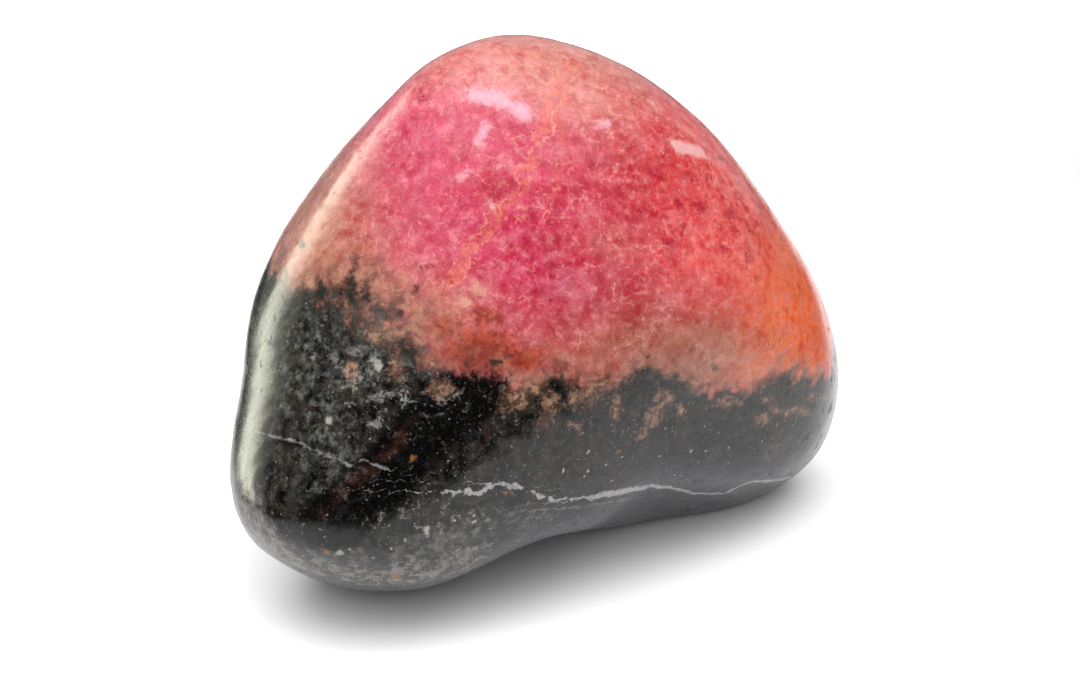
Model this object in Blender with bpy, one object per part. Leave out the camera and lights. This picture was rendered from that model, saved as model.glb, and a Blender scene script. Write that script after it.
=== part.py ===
"""A tumbled rhodonite pebble, standing on its worn base.

The stone is one natural piece, so it is one solid. It began as a broken lump of rock, and tumbling
rounded its edges, so it is built the same way: a plump blank with the stone's outline, swollen and
hollowed a little, cut back by the broken faces, each worn softly into the next, and worn flat
where it stands.

In metres, with +Z up, the front at -Y and the origin at the middle of the base.
"""

import math

import bmesh
import bpy
import numpy as np
from mathutils import Vector, noise

MM = 0.001

# The outline is seen from the front, looking down on the stone at this angle.
LOOK_DOWN = math.radians(27.0)
# The right end stands further back than the left end, more so at the base than at the crown. Both
# ends bend back from the middle, and the crown leans back over the base.
BASE_SWING_BACK = math.radians(23.0)
CROWN_SWING_BACK = math.radians(10.0)
END_BEND_BACK = 3.4 * MM
LEAN_BACK = math.radians(12.0)
# The stone's middle is this far above the base.
MIDDLE_HEIGHT = 13.25 * MM

# The outline in that view, across and up from the stone's middle, anticlockwise from the right.
OUTLINE = [
    (16.05, -3.5),
    (15.85, -1.35),
    (15.1, 1.05),
    (13.35, 4.25),
    (11.1, 7.35),
    (8.45, 10.45),
    (5.4, 12.8),
    (1.8, 14.25),
    (-1.3, 14.85),
    (-3.6, 14.4),
    (-5.6, 13.45),
    (-8.2, 11.2),
    (-11.05, 8.1),
    (-13.25, 4.95),
    (-14.55, 2.65),
    (-15.45, 0.25),
    (-15.65, -2.9),
    (-16, -5.25),
    (-16.2, -7.55),
    (-16, -9.4),
    (-14.95, -11.45),
    (-12.95, -12.85),
    (-10.4, -13.75),
    (-7.9, -13.85),
    (-5.55, -13.55),
    (-3.5, -12.7),
    (-1.5, -11.65),
    (0.4, -11.1),
    (2.5, -10.9),
    (6.55, -9.05),
    (11, -8.8),
    (13.1, -8.25),
    (14.6, -7.25),
    (15.65, -5.45),
]

OUTLINE_HALF_HEIGHT = 14.7 * MM
OUTLINE_HALF_WIDTH = 16.0 * MM

# How far the blank bulges towards the viewer and away, and how full its sides are: 2 is an
# ellipse, and more is fuller.
FRONT_BULGE = 12.6 * MM
BACK_BULGE = 12.2 * MM
FULLNESS = 3.2

# The broken faces, in the same view: how far each is turned to the right and upwards from facing
# the viewer, in degrees, its distance from the stone's middle, and how widely its edges are worn.
BROKEN_FACES = {
    "front face": (-14, 16, 10.3 * MM, 5.0 * MM),
    "lower right front": (17, -25, 12.5 * MM, 2.0 * MM),
    "crown front": (8, 42, 13.4 * MM, 5.0 * MM),
    "left brow": (-46, 20, 13.4 * MM, 5.0 * MM),
    "back face": (176, 4, 11.6 * MM, 5.0 * MM),
    "back brow": (-170, 42, 13.4 * MM, 5.0 * MM),
    "back left": (-130, -6, 13.4 * MM, 5.0 * MM),
    "back right": (134, 10, 13.2 * MM, 5.0 * MM),
    "back underside": (180, -30, 11.0 * MM, 5.0 * MM),
    "right heel": (136, -20, 13.4 * MM, 4.0 * MM),
    "underside": (160, -56, 13.4 * MM, 4.0 * MM),
}

# Swells and hollows: how far each is turned to the right and upwards, its half width in degrees,
# and how far it stands out; a hollow goes in instead.
SWELLS = {
    "lobe": (-20, -50, 23, 1.3 * MM),
    "right foot": (102, -50, 22, 1.7 * MM),
    "back foot": (-146, -54, 18, 0.5 * MM),
    "back saddle": (158, -10, 20, -0.5 * MM),
    "crown dimple": (172, 58, 14, -0.35 * MM),
    "left chip": (-90, -17, 4, -0.2 * MM),
}

# The slight waviness that tumbling leaves, on a stone of this mean reach: its length, its height.
MEAN_REACH = 14.0 * MM
WAVE_LENGTH = 8.0 * MM
WAVE_HEIGHT = 0.22 * MM

BLANK_SUBDIVISIONS = 5

# The rose rhodonite's mean colour, in linear light, and the gloss of its tumbled polish.
BODY_COLOUR = (0.56, 0.12, 0.11, 1.0)
POLISH_ROUGHNESS = 0.2


def facing(turned_right, turned_up):
    """The unit vector in the view (across, up, towards the viewer) for two turns in degrees."""
    turn = math.radians(turned_right)
    rise = math.radians(turned_up)
    return np.array([
        math.sin(turn) * math.cos(rise),
        math.sin(rise),
        math.cos(turn) * math.cos(rise),
    ])


def outline_reach(angle):
    """The outline's distance from the middle at each angle, as a smooth closed curve."""
    points = np.array(OUTLINE) * MM
    order = np.argsort(np.arctan2(points[:, 1], points[:, 0]))
    points = points[order]
    knots = np.arctan2(points[:, 1], points[:, 0])
    reach = np.hypot(points[:, 0], points[:, 1])
    turn = 2.0 * math.pi
    knots = np.concatenate([knots[-2:] - turn, knots, knots[:2] + turn])
    reach = np.concatenate([reach[-2:], reach, reach[:2]])
    slope = np.gradient(reach, knots)
    at = np.clip(np.searchsorted(knots, angle) - 1, 0, len(knots) - 2)
    width = knots[at + 1] - knots[at]
    t = (angle - knots[at]) / width
    return (
        reach[at] * (2 * t**3 - 3 * t**2 + 1)
        + slope[at] * width * (t**3 - 2 * t**2 + t)
        + reach[at + 1] * (3 * t**2 - 2 * t**3)
        + slope[at + 1] * width * (t**3 - t**2)
    )


def blank_reach(rays):
    """How far the blank reaches along each unit ray of the view."""
    flat = np.hypot(rays[:, 0], rays[:, 1])
    reach = outline_reach(np.arctan2(rays[:, 1], rays[:, 0]))
    bulge = np.where(rays[:, 2] > 0, FRONT_BULGE, BACK_BULGE)
    total = (flat / reach) ** FULLNESS + (np.abs(rays[:, 2]) / bulge) ** FULLNESS
    return total ** (-1.0 / FULLNESS)


def worn_cut(reach, limit, wear):
    """The nearer of two surfaces along a ray, with the edge between them worn round."""
    near = np.maximum(wear - np.abs(reach - limit), 0.0)
    return np.minimum(reach, limit) - near**2 / (4.0 * wear)


def stone_reach(rays):
    """How far the finished stone reaches along each unit ray of the view."""
    wave = np.array([noise.noise(Vector(ray) * MEAN_REACH / WAVE_LENGTH) for ray in rays])
    reach = blank_reach(rays) + WAVE_HEIGHT * wave
    for right, up, half_width, height in SWELLS.values():
        away = np.degrees(np.arccos(np.clip(rays @ facing(right, up), -1.0, 1.0)))
        reach = reach + height * np.exp(-((away / half_width) ** 2))
    for right, up, distance, wear in BROKEN_FACES.values():
        lean = np.maximum(rays @ facing(right, up), 0.05)
        reach = worn_cut(reach, distance / lean, wear)
    return reach


def standing(seen):
    """Points of the view (across, up, towards the viewer), stood up on the base."""
    across, up, out = seen.T
    share = np.clip((up / OUTLINE_HALF_HEIGHT + 1.0) / 2.0, 0.0, 1.0)
    swing = math.tan(BASE_SWING_BACK) * (1.0 - share) + math.tan(CROWN_SWING_BACK) * share
    towards = (
        out
        + up * math.tan(LOOK_DOWN - LEAN_BACK)
        - across * swing / math.cos(LOOK_DOWN)
        - END_BEND_BACK * (across / OUTLINE_HALF_WIDTH) ** 2
    )
    y = up * math.sin(LOOK_DOWN) - towards * math.cos(LOOK_DOWN)
    z = up * math.cos(LOOK_DOWN) + towards * math.sin(LOOK_DOWN) + MIDDLE_HEIGHT
    return np.stack([across, y, z], axis=1)


def polished_stone():
    """The stone's plain stand-in finish: a rose body with a tumbled polish."""
    material = bpy.data.materials.new("polished_rhodonite")
    material.use_nodes = True
    shader = material.node_tree.nodes["Principled BSDF"]
    shader.inputs["Base Color"].default_value = BODY_COLOUR
    shader.inputs["Roughness"].default_value = POLISH_ROUGHNESS
    shader.inputs["Metallic"].default_value = 0.0
    return material


def make_stone(collection):
    """The whole pebble as one closed mesh, with a small flat worn on its base."""
    mesh = bpy.data.meshes.new("rhodonite_pebble")
    shape = bmesh.new()
    bmesh.ops.create_icosphere(shape, subdivisions=BLANK_SUBDIVISIONS, radius=1.0)
    rays = np.array([vert.co.normalized() for vert in shape.verts])
    points = standing(rays * stone_reach(rays)[:, None])
    points[:, 2] = np.maximum(points[:, 2], 0.0)
    points[:, :2] -= (points[:, :2].min(axis=0) + points[:, :2].max(axis=0)) / 2.0
    for vert, point in zip(shape.verts, points):
        vert.co = Vector(point)
    shape.to_mesh(mesh)
    shape.free()
    mesh.shade_smooth()
    mesh.materials.append(polished_stone())
    stone = bpy.data.objects.new("rhodonite_pebble", mesh)
    collection.objects.link(stone)


for old in list(bpy.data.objects):
    bpy.data.objects.remove(old, do_unlink=True)
pebble_collection = bpy.data.collections.new("rhodonite_specimen")
bpy.context.scene.collection.children.link(pebble_collection)
make_stone(pebble_collection)
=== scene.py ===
import math

import bmesh
import bpy
import numpy as np
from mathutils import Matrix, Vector
from mathutils.bvhtree import BVHTree


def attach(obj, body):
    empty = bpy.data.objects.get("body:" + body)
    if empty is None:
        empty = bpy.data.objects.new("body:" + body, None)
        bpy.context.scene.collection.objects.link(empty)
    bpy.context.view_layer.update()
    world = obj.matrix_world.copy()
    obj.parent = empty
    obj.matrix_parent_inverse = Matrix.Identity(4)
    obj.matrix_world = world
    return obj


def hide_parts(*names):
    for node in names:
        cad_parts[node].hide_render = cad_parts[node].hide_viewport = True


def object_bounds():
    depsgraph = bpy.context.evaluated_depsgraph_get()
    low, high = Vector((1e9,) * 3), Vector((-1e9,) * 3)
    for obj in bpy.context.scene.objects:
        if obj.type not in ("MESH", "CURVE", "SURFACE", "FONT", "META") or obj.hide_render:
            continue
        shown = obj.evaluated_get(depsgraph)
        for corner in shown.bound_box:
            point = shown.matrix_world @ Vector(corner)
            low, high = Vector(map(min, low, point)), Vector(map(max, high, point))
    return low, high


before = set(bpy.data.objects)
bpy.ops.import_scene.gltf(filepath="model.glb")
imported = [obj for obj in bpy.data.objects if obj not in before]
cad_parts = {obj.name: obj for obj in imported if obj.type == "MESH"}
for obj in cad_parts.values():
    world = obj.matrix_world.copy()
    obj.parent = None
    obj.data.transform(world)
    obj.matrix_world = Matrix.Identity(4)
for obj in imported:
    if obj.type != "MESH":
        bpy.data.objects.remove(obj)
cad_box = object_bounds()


# The camera.
# It looks down on the stone at 27 degrees from nearly half a metre away, so the stone's sides
# hardly converge. The markings further down are placed as it sees them.

MM = 0.001
LOOK_DOWN = math.radians(27.0)
STONE_MIDDLE = Vector((0.07, 1.47, 13.25)) * MM
AIM_BELOW_MIDDLE = 0.92 * MM
CAMERA_DISTANCE = 450.0 * MM
CAMERA_LENS = 285.5
CAMERA_SENSOR = 36.0
CAMERA_SEES_FROM = 0.01
CAMERA_SEES_TO = 20.0

towards_camera = Vector((0.0, -math.cos(LOOK_DOWN), math.sin(LOOK_DOWN)))
up_in_view = Vector((0.0, math.sin(LOOK_DOWN), math.cos(LOOK_DOWN)))
aim = STONE_MIDDLE - up_in_view * AIM_BELOW_MIDDLE

camera = bpy.data.objects.new("camera", bpy.data.cameras.new("camera"))
camera.data.lens = CAMERA_LENS
camera.data.sensor_width = CAMERA_SENSOR
camera.data.clip_start = CAMERA_SEES_FROM
camera.data.clip_end = CAMERA_SEES_TO
camera.location = aim + towards_camera * CAMERA_DISTANCE
camera.rotation_euler = (math.radians(90.0) - LOOK_DOWN, 0.0, 0.0)
bpy.context.scene.collection.objects.link(camera)
bpy.context.scene.camera = camera


# The stone's worn body.
# One lump of massive rhodonite, rounded in a tumbler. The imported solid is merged, subdivided and
# smoothed until no facet shows, and it stays flat where it rests.

BODY_LEVELS = 2
SMOOTHING_PASSES = 12
SMOOTHING_SHARE = 0.5
SAME_POINT = 0.001 * MM
SKIN_ROOM = 0.03 * MM


def plain_mesh(piece, name):
    """The piece with its modifiers worked in, as a plain mesh."""
    bpy.context.view_layer.update()
    evaluated = piece.evaluated_get(bpy.context.evaluated_depsgraph_get())
    mesh = bpy.data.meshes.new_from_object(evaluated)
    mesh.name = name
    return mesh


def points_of(mesh):
    """The mesh's points, as an array in metres."""
    flat = np.empty(len(mesh.vertices) * 3, dtype=np.float32)
    mesh.vertices.foreach_get("co", flat)
    return flat.reshape(-1, 3).astype(np.float64)


cad_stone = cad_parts["rhodonite_pebble"]
body_mesh = cad_stone.data.copy()
body_mesh.name = "pebble_body"
body_mesh.materials.clear()
lump = bmesh.new()
lump.from_mesh(body_mesh)
bmesh.ops.remove_doubles(lump, verts=lump.verts, dist=SAME_POINT)
for face in lump.faces:
    face.smooth = True
lump.to_mesh(body_mesh)
lump.free()

stone = bpy.data.objects.new("pebble_body", body_mesh)
bpy.context.scene.collection.objects.link(stone)
rounding = stone.modifiers.new("rounding", "SUBSURF")
rounding.levels = BODY_LEVELS
rounding.render_levels = BODY_LEVELS
wearing = stone.modifiers.new("wearing", "SMOOTH")
wearing.factor = SMOOTHING_SHARE
wearing.iterations = SMOOTHING_PASSES
stone.data = plain_mesh(stone, "pebble_body")
stone.modifiers.clear()

# Smoothing draws the body in a little, so it is drawn out again to the solid's own size.
worn = points_of(stone.data)
low_corner = np.array(cad_box[0])
high_corner = np.array(cad_box[1])
room = np.array((SKIN_ROOM, SKIN_ROOM, SKIN_ROOM))
span = (high_corner - low_corner - 2.0 * room) / (worn.max(axis=0) - worn.min(axis=0))
filled = low_corner + room + (worn - worn.min(axis=0)) * span
filled[:, 2] = worn[:, 2] * (high_corner[2] - SKIN_ROOM) / worn[:, 2].max()
stone.data.vertices.foreach_set("co", filled.astype(np.float32).ravel())
stone.data.update()


# The tumbled skin.
# Tumbling leaves the surface faintly wavy and dimpled, with small pits where a softer grain or a
# speck of oxide fell out. It follows the whole surface, so Geometry Nodes raise it.

SKIN_SETTINGS = {
    "Wave length": 3.2 * MM,
    "Wave height": 0.07 * MM,
    "Dimple length": 0.9 * MM,
    "Dimple height": 0.018 * MM,
    "Pit spacing": 1.5 * MM,
    "Pit width": 0.28 * MM,
    "Pit depth": 0.05 * MM,
}
SKIN_SEED = 7.0
PIT_LIP = 0.2
SHARE_WITHOUT_PIT = 0.55
RESTING_BAND = 0.02 * MM


def skin_tree(finish):
    """The node tree that raises the tumbled skin along the surface's own normals."""
    tree = bpy.data.node_groups.new("tumbled_skin", "GeometryNodeTree")
    face = tree.interface
    face.new_socket("Geometry", in_out="INPUT", socket_type="NodeSocketGeometry")
    for name, size in SKIN_SETTINGS.items():
        face.new_socket(name, in_out="INPUT", socket_type="NodeSocketFloat").default_value = size
    face.new_socket("Seed", in_out="INPUT", socket_type="NodeSocketFloat").default_value = SKIN_SEED
    face.new_socket("Geometry", in_out="OUTPUT", socket_type="NodeSocketGeometry")
    given = tree.nodes.new("NodeGroupInput")

    def put(kind, *feeds, **settings):
        made = tree.nodes.new(kind)
        for setting, value in settings.items():
            setattr(made, setting, value)
        for socket, feed in enumerate(feeds):
            if isinstance(feed, bpy.types.NodeSocket):
                tree.links.new(feed, made.inputs[socket])
            elif feed is not None:
                made.inputs[socket].default_value = feed
        return made

    def maths(operation, *feeds):
        return put("ShaderNodeMath", *feeds, operation=operation).outputs[0]

    def waves(length, height):
        noise = put("ShaderNodeTexNoise", noise_dimensions="4D")
        tree.links.new(given.outputs["Seed"], noise.inputs["W"])
        tree.links.new(maths("DIVIDE", 1.0, given.outputs[length]), noise.inputs["Scale"])
        noise.inputs["Detail"].default_value = 1.0
        level = maths("SUBTRACT", noise.outputs["Fac"], 0.5)
        return maths("MULTIPLY", maths("MULTIPLY", level, 2.0), given.outputs[height])

    pits = put("ShaderNodeTexVoronoi", feature="F1", voronoi_dimensions="3D")
    tree.links.new(maths("DIVIDE", 1.0, given.outputs["Pit spacing"]), pits.inputs["Scale"])
    away = maths("MULTIPLY", pits.outputs["Distance"], given.outputs["Pit spacing"])
    inside = maths("SUBTRACT", 1.0, maths("DIVIDE", away, given.outputs["Pit width"]))
    bowl = maths("SMOOTH_MAX", inside, 0.0, PIT_LIP)
    chosen = put("FunctionNodeSeparateColor")
    tree.links.new(pits.outputs["Color"], chosen.inputs[0])
    open_pit = maths("GREATER_THAN", chosen.outputs[0], SHARE_WITHOUT_PIT)
    pit = maths("MULTIPLY", maths("MULTIPLY", bowl, open_pit), given.outputs["Pit depth"])

    raised = maths("ADD", waves("Wave length", "Wave height"), waves("Dimple length", "Dimple height"))
    raised = maths("SUBTRACT", raised, pit)
    normal = put("GeometryNodeInputNormal").outputs[0]
    move = put("ShaderNodeVectorMath", normal, operation="SCALE")
    tree.links.new(raised, move.inputs["Scale"])
    shift = put("GeometryNodeSetPosition")
    tree.links.new(given.outputs["Geometry"], shift.inputs["Geometry"])
    tree.links.new(move.outputs[0], shift.inputs["Offset"])
    whole = put("GeometryNodeRealizeInstances", shift.outputs[0])
    coated = put("GeometryNodeSetMaterial", whole.outputs[0])
    coated.inputs["Material"].default_value = finish
    out = tree.nodes.new("NodeGroupOutput")
    tree.links.new(coated.outputs[0], out.inputs[0])
    return tree


polished = bpy.data.materials.new("polished_rhodonite")
polished.use_nodes = True
skin = stone.modifiers.new("tumbled_skin", "NODES")
skin.node_group = skin_tree(polished)
for socket in skin.node_group.interface.items_tree:
    if socket.in_out == "INPUT" and socket.name in SKIN_SETTINGS:
        skin[socket.identifier] = SKIN_SETTINGS[socket.name]
    if socket.in_out == "INPUT" and socket.name == "Seed":
        skin[socket.identifier] = SKIN_SEED
body_points = points_of(stone.data)
stone.data = plain_mesh(stone, "pebble_body")
stone.modifiers.clear()

points = np.clip(points_of(stone.data), low_corner, high_corner)
points[:, 2] = np.where(body_points[:, 2] < RESTING_BAND, body_points[:, 2], points[:, 2])
points[:, 2] = np.where(points[:, 2] < RESTING_BAND, 0.0, points[:, 2])
stone.data.vertices.foreach_set("co", points.astype(np.float32).ravel())
stone.data.update()
stone.data.shade_smooth()


# The stone's markings.
# Most grew with the stone: bands and patches of rose, crimson and coral rhodonite, a crust of
# black manganese oxide that crept in from below, a buff vein and threads of white quartz. A few
# are painted light: highlights on a cleavage face and on the crown, shade in a chip, and a
# reflection of the table on the underside.
# Each is placed where the camera sees it, in millimetres across and up from the picture's
# middle, and is carried onto the surface there. Those of the unseen side are laid on from behind.

FAR_BEHIND = 100.0 * MM
STOPS_PER_LEG = 4
# Past this many millimetres a point counts as far from a thread.
THREAD_REACH = 9.0
# A spot goes at least this many millimetres into the stone, and fades that way by this share.
LEAST_SPOT_DEPTH = 2.5
SPOT_DEPTH_FADE = 0.5

surface = BVHTree.FromObject(stone, bpy.context.evaluated_depsgraph_get())


def on_stone(across, up, side="front"):
    """The point of the surface that shows at that place of the picture, or lies right behind it."""
    target = aim + Vector((1.0, 0.0, 0.0)) * across * MM + up_in_view * up * MM
    ray = (target - camera.location).normalized()
    if side == "front":
        hit = surface.ray_cast(camera.location, ray)[0]
    else:
        hit = surface.ray_cast(target + ray * FAR_BEHIND, -ray)[0]
    if hit is None:
        raise ValueError(f"nothing of the stone at {across}, {up}")
    return np.array(hit)


flat_normals = np.empty(len(stone.data.vertices) * 3, dtype=np.float32)
stone.data.vertex_normals.foreach_get("vector", flat_normals)
normals = flat_normals.reshape(-1, 3).astype(np.float64)


def keep_mark(name, values):
    """Stores one value for each point of the surface, for the material to read."""
    kept = stone.data.attributes.new(name, "FLOAT", "POINT")
    kept.data.foreach_set("value", values.astype(np.float32))


def spot(across, up, half_across, half_up, side="front", turn=0.0):
    """A soft patch, 1 in its middle, as wide and high as the camera sees it, turned in degrees."""
    middle = on_stone(across, up, side)
    away = (points - middle) / MM
    sideways = away[:, 0]
    upwards = away @ np.array(up_in_view)
    inwards = away @ np.array(towards_camera)
    c, s = math.cos(math.radians(turn)), math.sin(math.radians(turn))
    along = (sideways * c + upwards * s) / half_across
    over = (upwards * c - sideways * s) / half_up
    deep = inwards / max(half_across, half_up, LEAST_SPOT_DEPTH)
    return np.exp(-(along**2 + over**2 + SPOT_DEPTH_FADE * deep**2))


def thread(route, side="front"):
    """How far each point is to the left or right of a route over the surface, in millimetres."""
    places = []
    for (start_across, start_up), (end_across, end_up) in zip(route[:-1], route[1:]):
        for share in np.linspace(0.0, 1.0, STOPS_PER_LEG + 1)[:-1]:
            across = start_across + share * (end_across - start_across)
            up = start_up + share * (end_up - start_up)
            places.append((across, up))
    stops = [on_stone(*place, side) for place in places + [route[-1]]]
    best = np.full(len(points), THREAD_REACH)
    sided = np.full(len(points), THREAD_REACH)
    for start, end in zip(stops[:-1], stops[1:]):
        run = end - start
        share = np.clip((points - start) @ run / (run @ run), 0.0, 1.0)
        away = (points - start - share[:, None] * run) / MM
        distance = np.linalg.norm(away, axis=1)
        left = np.sign(np.einsum("ij,ij->i", np.cross(run, away), normals))
        nearer = distance < best
        best = np.where(nearer, distance, best)
        sided = np.where(nearer, distance * np.where(left == 0.0, 1.0, left), sided)
    return sided


# Where the oxide ends, across and up in the picture, from left to right, and then round the back
# by the angle from the front and the height over the base.
OXIDE_EDGE_IN_FRONT = [
    (-13.7, 3.6), (-12.6, 2.5), (-10.5, 2.5), (-9.5, 2.2), (-8.4, 0.9), (-6.8, -0.4), (-5.3, -1.4),
    (-2.1, -2.0), (-1.0, -2.5), (1.0, -2.2), (4.2, -2.5), (5.3, -1.7), (6.8, -1.9), (8.4, -2.5),
    (10.5, -3.0), (11.6, -2.5), (13.1, -2.0), (15.2, -2.2),
]
OXIDE_EDGE_BEHIND = [
    (115, 11.5), (135, 9.5), (155, 8.0), (172, 10.5), (190, 12.5), (208, 9.0), (225, 11.0), (242, 14.5),
]


def turn_from_front(place):
    """The angle of a place round the stone's middle, in degrees from the front to the right."""
    offset = (place - np.array(STONE_MIDDLE)) / MM
    return np.degrees(np.arctan2(offset[..., 0], -offset[..., 1]))


edge_points = [on_stone(*stop) for stop in OXIDE_EDGE_IN_FRONT]
edge_stops = [(float(turn_from_front(place)), place[2] / MM) for place in edge_points]
edge_turns, edge_heights = np.array(sorted(edge_stops + OXIDE_EDGE_BEHIND)).T
turns = turn_from_front(points)
turns = np.where(turns < edge_turns[0], turns + 360.0, turns)
edge_here = np.interp(turns, edge_turns, edge_heights, period=360.0)
oxide = edge_here - points[:, 2] / MM

# Small outliers of oxide in the rose, and islands of buff feldspar left in the oxide.
OXIDE_OUTLIERS = [
    (-6.5, 3.95, 0.2, 0.3), (-6.0, 3.7, 0.5, 0.15), (-6.5, 2.6, 0.22, 0.3), (-9.7, 4.0, 0.25, 0.4),
    (-10.0, 2.6, 0.45, 1.1), (-9.2, 2.2, 0.35, 0.9), (-11.6, 2.4, 0.4, 0.8), (-1.7, -1.0, 0.45, 0.2),
    (5.7, -1.0, 0.22, 0.25), (0.5, 2.0, 0.12, 0.12), (-12.5, 4.9, 0.2, 0.3), (-7.0, -0.7, 0.7, 0.7),
    (-2.3, -1.3, 0.4, 0.2), (-13.4, 3.4, 0.25, 0.4), (-7.3, 1.3, 0.25, 0.3), (9.2, -1.6, 0.3, 0.3),
]
BUFF_ISLANDS = [
    (-5.2, -2.7, 0.9, 0.5), (-5.9, -1.2, 0.7, 0.5), (0.5, -3.6, 0.6, 0.9), (-1.4, -3.3, 1.0, 0.7),
    (-0.3, -2.6, 0.8, 0.6), (2.6, -3.0, 0.9, 0.7), (4.0, -3.7, 0.35, 0.9), (6.6, -3.2, 0.7, 0.5),
    (13.2, -3.9, 1.6, 0.35), (11.7, -4.3, 0.5, 0.4), (14.6, -3.1, 0.7, 0.3), (10.9, -2.7, 0.5, 0.5),
    (-8.4, 0.1, 0.9, 0.5), (-7.6, -1.6, 0.5, 0.9), (-6.3, 0.4, 0.6, 0.5), (-9.9, -1.6, 0.4, 0.7),
    (1.9, -4.6, 0.5, 0.3), (8.2, -2.9, 0.4, 0.3), (1.7, -3.2, 0.3, 0.8), (0.2, -4.4, 0.35, 0.6),
    (9.9, -3.4, 0.9, 0.4), (12.0, -3.3, 0.4, 0.25), (3.4, -2.5, 0.8, 0.3), (7.4, -3.9, 0.25, 0.5),
    (6.0, -4.2, 0.5, 1.1, "front", -35.0), (5.4, -5.0, 0.3, 0.6, "front", -35.0),
]
outliers = np.maximum.reduce([spot(*place) for place in OXIDE_OUTLIERS])
islands = np.maximum.reduce([spot(*place) for place in BUFF_ISLANDS])
keep_mark("oxide", oxide)
keep_mark("outliers", outliers)
keep_mark("buff_islands", islands)
keep_mark("mixed_zone", np.maximum(spot(-9.3, 0.3, 3.6, 3.2), spot(6.0, 6.0, 5.0, 4.0, "back")))


def paint(red, green, blue):
    """A paint as it looks, 0 to 255, in linear light."""
    shares = [value / 255.0 for value in (red, green, blue)]
    return tuple(s / 12.92 if s <= 0.04045 else ((s + 0.055) / 1.055) ** 2.4 for s in shares)


# The rhodonite's patches of colour: where they are, how far they reach, how strong they are.
ROSE = paint(178, 67, 93)
MAGENTA = paint(168, 28, 70)
CRIMSON = paint(154, 28, 32)
RED = paint(200, 88, 82)
CORAL = paint(232, 114, 60)
ORANGE = paint(230, 102, 42)
SALMON = paint(146, 104, 76)
DULL_ROSE = paint(144, 62, 56)
PALE_SALMON = paint(172, 114, 102)
RUST = paint(108, 30, 12)
CREAM = paint(184, 132, 110)
LILAC_WHITE = paint(204, 152, 166)

COLOUR_PATCHES = [
    (ROSE, "front", -5.3, 9.0, 4.5, 4.5, 1.0),
    (ROSE, "front", -7.5, 6.5, 3.0, 3.0, 0.8),
    (PALE_SALMON, "front", -0.5, 14.6, 5.5, 1.8, 1.6),
    (MAGENTA, "front", 0.0, 5.5, 5.0, 4.5, 1.3),
    (MAGENTA, "front", -1.0, 3.0, 2.5, 2.0, 1.6),
    (ROSE, "front", 1.0, 10.5, 2.2, 2.0, 0.6),
    (PALE_SALMON, "front", 3.2, 12.2, 2.5, 2.0, 0.9),
    (CRIMSON, "front", 5.4, 8.4, 4.5, 3.6, 1.5),
    (RED, "front", 9.6, 7.6, 3.6, 4.0, 1.4),
    (RED, "front", 10.2, 4.0, 3.5, 3.0, 1.2),
    (CORAL, "front", 13.0, 2.0, 2.6, 3.2, 1.8),
    (ORANGE, "front", 14.3, 0.5, 1.2, 2.4, 1.8),
    (DULL_ROSE, "front", 3.4, 1.0, 4.5, 2.2, 1.3),
    (SALMON, "front", 7.5, -0.6, 6.0, 1.3, 1.6),
    (SALMON, "front", -10.6, 4.6, 3.0, 3.6, 1.6),
    (SALMON, "front", -11.5, 7.0, 2.2, 3.0, 0.8),
    (SALMON, "front", -4.5, 1.8, 3.0, 1.8, 0.9),
    (PALE_SALMON, "front", 3.6, 5.0, 1.6, 1.1, 0.9),
    (PALE_SALMON, "front", 1.6, 12.4, 1.4, 1.2, 0.7),
    (LILAC_WHITE, "front", 1.4, 2.6, 1.2, 0.8, 0.5),
    (CRIMSON, "front", -2.5, 8.0, 0.6, 0.9, 2.5),
    (CRIMSON, "front", 0.9, 5.0, 1.0, 0.9, 1.0),
    (ROSE, "back", -4.0, 8.0, 6.0, 4.5, 1.2),
    (MAGENTA, "back", 3.0, 5.5, 4.0, 3.5, 1.2),
    (CRIMSON, "back", -8.0, 4.0, 3.5, 3.0, 1.2),
    (SALMON, "back", 9.5, 3.0, 4.0, 3.0, 1.4),
    (CORAL, "back", 5.0, -1.0, 4.0, 2.5, 1.0),
    (SALMON, "back", -3.0, 0.0, 4.5, 2.0, 1.3),
]
ROSE_EVERYWHERE = 0.05
tint = np.zeros((len(points), 3)) + np.array(ROSE) * ROSE_EVERYWHERE
weight = np.zeros(len(points)) + ROSE_EVERYWHERE
for colour, side, across, up, half_across, half_up, strength in COLOUR_PATCHES:
    share = strength * spot(across, up, half_across, half_up, side)
    tint = tint + share[:, None] * np.array(colour)
    weight = weight + share
tint = tint / weight[:, None]
tint_mark = stone.data.attributes.new("rhodonite_tint", "FLOAT_COLOR", "POINT")
tint_with_alpha = np.column_stack([tint, np.ones(len(points))])
tint_mark.data.foreach_set("color", tint_with_alpha.astype(np.float32).ravel())
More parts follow.
